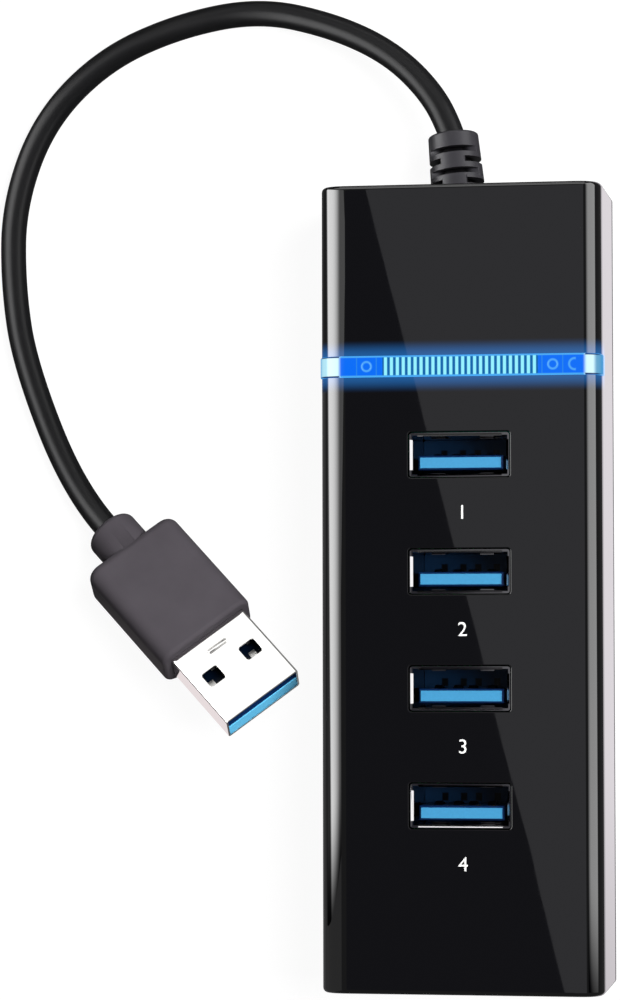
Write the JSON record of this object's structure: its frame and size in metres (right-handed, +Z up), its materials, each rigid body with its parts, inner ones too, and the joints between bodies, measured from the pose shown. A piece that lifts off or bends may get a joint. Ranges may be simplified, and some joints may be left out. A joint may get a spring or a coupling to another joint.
{
  "type": "usb hub",
  "caption": "Long black desk hub with upward-facing sockets in a row, a lit bar across its top and a short captive lead that ends in a plug.",
  "frame": {"origin": "on the surface the feet stand on, under the middle of the housing", "axes": "+Z up with the sockets facing up, +Y along the bar towards the lead, +X to the right when the lead is at the far end"},
  "size_m": [0.0849, 0.1337, 0.0212],
  "materials": {
    "gloss_black_abs": "high gloss moulded ABS",
    "matte_black_abs": "fine spark texture",
    "clear_light_bar": "clear polycarbonate lit blue from inside",
    "foot_rubber": "die-cut rubber pad",
    "screw_steel": "black zinc",
    "board_laminate": "solder mask over glass laminate",
    "chip_epoxy": "moulded epoxy",
    "crystal_can": "drawn metal lid",
    "capacitor_can": "drawn aluminium can",
    "lamp_package": "white lamp package",
    "fuse_ceramic": "green chip fuse",
    "chip_ceramic": "tan ceramic",
    "resistor_ceramic": "black film on ceramic",
    "cord_pvc": "satin extruded PVC",
    "boot_pvc": "fine-textured moulded PVC",
    "wire_insulation": "extruded insulation",
    "nickel_plated_steel": "bright nickel plate on folded steel",
    "insulator_blue": "moulded PBT",
    "contact_gold": "gold flash on phosphor bronze"
  },
  "bodies": {
    "root": {"base_cover": "matte_black_abs", "bulk_capacitor": "capacitor_can", "case_screws": "screw_steel", "ceramic_capacitors": "chip_ceramic", "chip_resistors": "resistor_ceramic", "circuit_board": "board_laminate", "cord": "cord_pvc", "crystal": "crystal_can", "hub_controller": "chip_epoxy", "inner_lead": "cord_pvc", "light_bar": "clear_light_bar", "plug_boot": "boot_pvc", "plug_contact_tails": "contact_gold", "plug_flat_contacts": "contact_gold", "plug_insulator": "insulator_blue", "plug_lead": "cord_pvc", "plug_shell": "nickel_plated_steel", "plug_wire_leads": "wire_insulation", "port_fuses": "fuse_ceramic", "rubber_feet": "foot_rubber", "socket_1_contact_tails": "contact_gold", "socket_1_front_contacts": "contact_gold", "socket_1_insulator": "insulator_blue", "socket_1_shell": "nickel_plated_steel", "socket_2_contact_tails": "contact_gold", "socket_2_front_contacts": "contact_gold", "socket_2_insulator": "insulator_blue", "socket_2_shell": "nickel_plated_steel", "socket_3_contact_tails": "contact_gold", "socket_3_front_contacts": "contact_gold", "socket_3_insulator": "insulator_blue", "socket_3_shell": "nickel_plated_steel", "socket_4_contact_tails": "contact_gold", "socket_4_front_contacts": "contact_gold", "socket_4_insulator": "insulator_blue", "socket_4_shell": "nickel_plated_steel", "status_lamps": "lamp_package", "strain_relief": "cord_pvc", "top_cover": "gloss_black_abs", "voltage_regulator": "chip_epoxy", "wire_leads": "wire_insulation"},
    "socket_1_springs": {"socket_1_spring_contacts": "contact_gold"},
    "socket_2_springs": {"socket_2_spring_contacts": "contact_gold"},
    "socket_3_springs": {"socket_3_spring_contacts": "contact_gold"},
    "socket_4_springs": {"socket_4_spring_contacts": "contact_gold"},
    "plug_springs": {"plug_spring_contacts": "contact_gold"}
  },
  "joints": [
    {"name": "socket_1_contact_bend", "type": "hinge", "parent": "root", "child": "socket_1_springs", "pos_m": [0, 0.01674, 0.0092], "axis": [1, 0, 0], "range_deg": [0, 3.5], "stiffness_Nm_per_rad": 0.2},
    {"name": "socket_2_contact_bend", "type": "hinge", "parent": "root", "child": "socket_2_springs", "pos_m": [0, 0.00154, 0.0092], "axis": [1, 0, 0], "range_deg": [0, 3.5], "stiffness_Nm_per_rad": 0.2},
    {"name": "socket_3_contact_bend", "type": "hinge", "parent": "root", "child": "socket_3_springs", "pos_m": [0, -0.01366, 0.0092], "axis": [1, 0, 0], "range_deg": [0, 3.5], "stiffness_Nm_per_rad": 0.2},
    {"name": "socket_4_contact_bend", "type": "hinge", "parent": "root", "child": "socket_4_springs", "pos_m": [0, -0.02886, 0.0092], "axis": [1, 0, 0], "range_deg": [0, 3.5], "stiffness_Nm_per_rad": 0.2},
    {"name": "plug_contact_bend", "type": "hinge", "parent": "root", "child": "plug_springs", "pos_m": [-0.03607, -0.00641, 0.0094], "axis": [0.7337, 0.5762, -0.3601], "range_deg": [0, 3.5], "stiffness_Nm_per_rad": 0.2}
  ]
}
